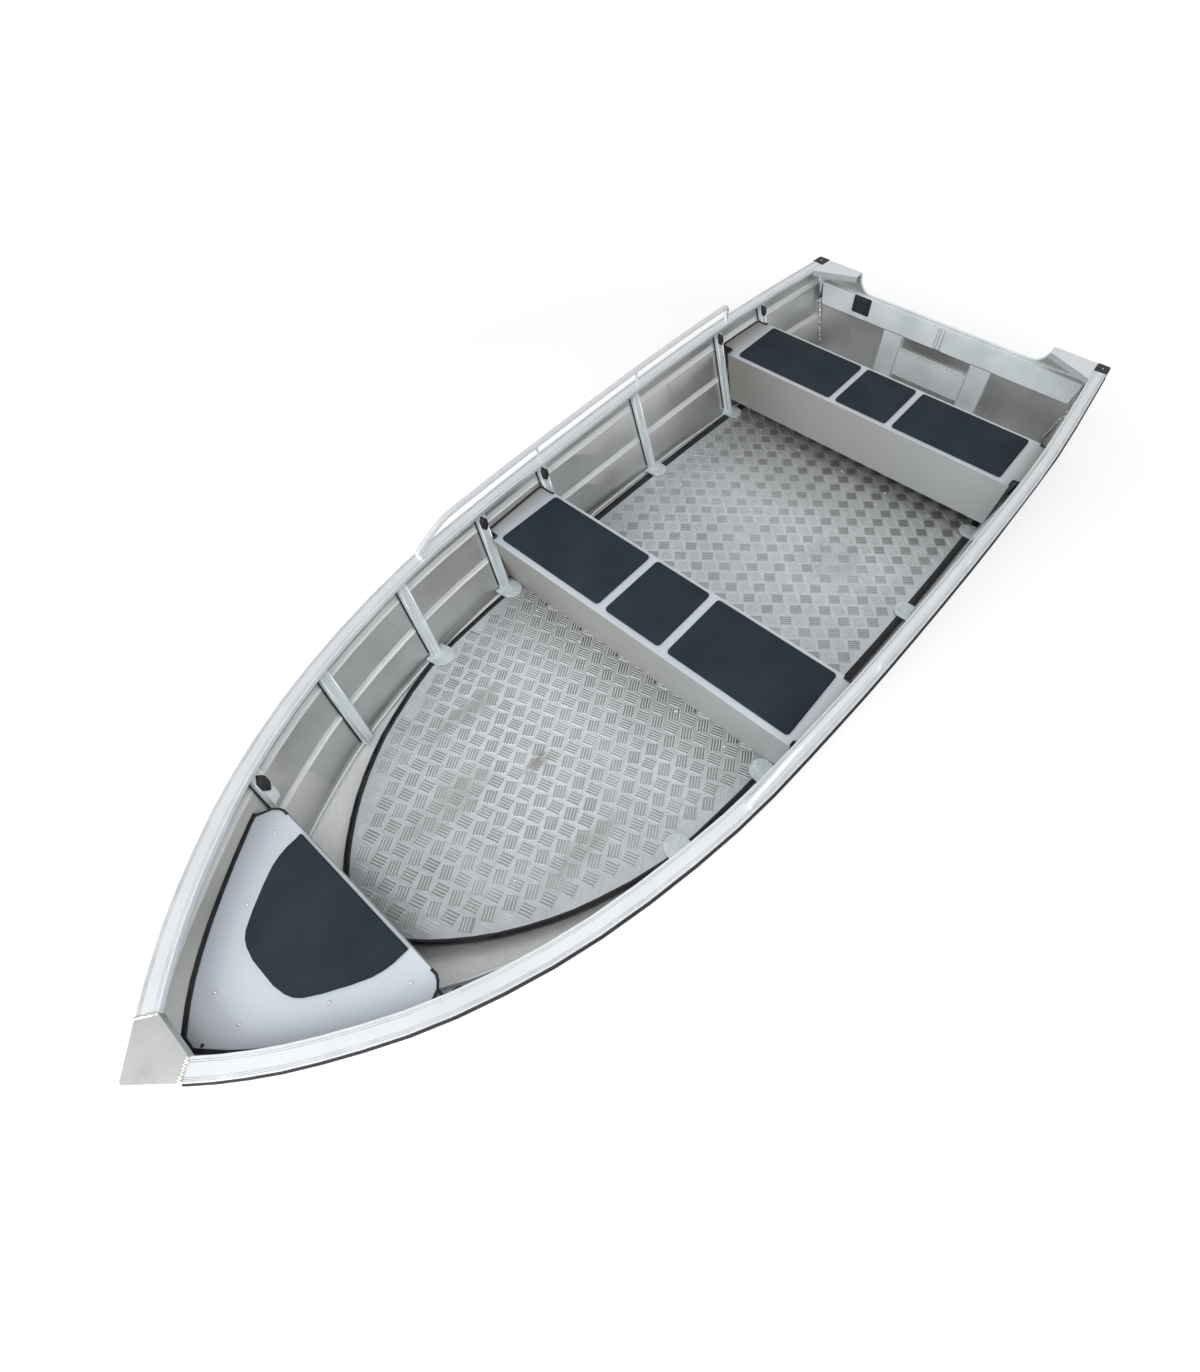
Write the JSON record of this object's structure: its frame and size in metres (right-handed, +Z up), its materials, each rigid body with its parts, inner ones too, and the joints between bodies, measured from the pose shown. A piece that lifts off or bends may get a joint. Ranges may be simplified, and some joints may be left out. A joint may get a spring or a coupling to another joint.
{
  "type": "aluminum boat",
  "caption": "Open aluminium boat with a V hull, swaged sides, wide extruded gunwales, padded bench seats, tread plate floor, bow platform, lowered transom and grab rails",
  "frame": {"origin": "on the centreline at mid length, at the waterline of the empty boat afloat", "axes": "+X to the bow, +Y to port, +Z up"},
  "size_m": [4.2183, 1.7342, 0.6297],
  "materials": {
    "aluminium": "brushed mill finish, lightly stained",
    "gunwale": "bright satin extrusion with fine lengthwise grooves",
    "tread": "bright five-bar tread plate, dusty and stained",
    "rubber": "black satin rubber",
    "pad": "charcoal closed-cell foam with a fine grain",
    "seat": "pale satin anodised sheet"
  },
  "bodies": {
    "root": {"aft_seat": "seat", "aft_seat_pad_centre": "pad", "aft_seat_pad_port": "pad", "aft_seat_pad_starboard": "pad", "bottom_plate_port": "aluminium", "bottom_plate_starboard": "aluminium", "bow_platform": "seat", "breasthook": "gunwale", "chine_rail_port": "aluminium", "chine_rail_starboard": "aluminium", "corner_cap_port": "rubber", "corner_cap_starboard": "rubber", "corner_knee_port": "gunwale", "corner_knee_starboard": "gunwale", "floor_bearer_port": "aluminium", "floor_bearer_starboard": "aluminium", "floor_edging": "rubber", "grab_rail_port": "gunwale", "grab_rail_starboard": "gunwale", "gunwale_port": "gunwale", "gunwale_starboard": "gunwale", "keel_and_stem": "aluminium", "mid_seat": "seat", "mid_seat_pad_centre": "pad", "mid_seat_pad_port": "pad", "mid_seat_pad_starboard": "pad", "platform_edging": "rubber", "platform_pad": "pad", "rib_1_port": "gunwale", "rib_1_starboard": "gunwale", "rib_2_port": "gunwale", "rib_2_starboard": "gunwale", "rib_3_port": "gunwale", "rib_3_starboard": "gunwale", "rib_4_port": "gunwale", "rib_4_starboard": "gunwale", "rib_5_port": "gunwale", "rib_5_starboard": "gunwale", "rib_6_port": "gunwale", "rib_6_starboard": "gunwale", "rib_7_port": "gunwale", "rib_7_starboard": "gunwale", "rib_8_port": "gunwale", "rib_8_starboard": "gunwale", "rub_strip_port": "rubber", "rub_strip_starboard": "rubber", "side_panel_port": "aluminium", "side_panel_starboard": "aluminium", "spray_strake_port": "aluminium", "spray_strake_starboard": "aluminium", "transom_beam_port": "gunwale", "transom_beam_starboard": "gunwale", "transom_cross_member": "gunwale", "transom_joiner": "gunwale", "transom_plate": "aluminium", "transom_post_port": "gunwale", "transom_post_starboard": "gunwale", "tread_floor": "tread"}
  },
  "joints": []
}
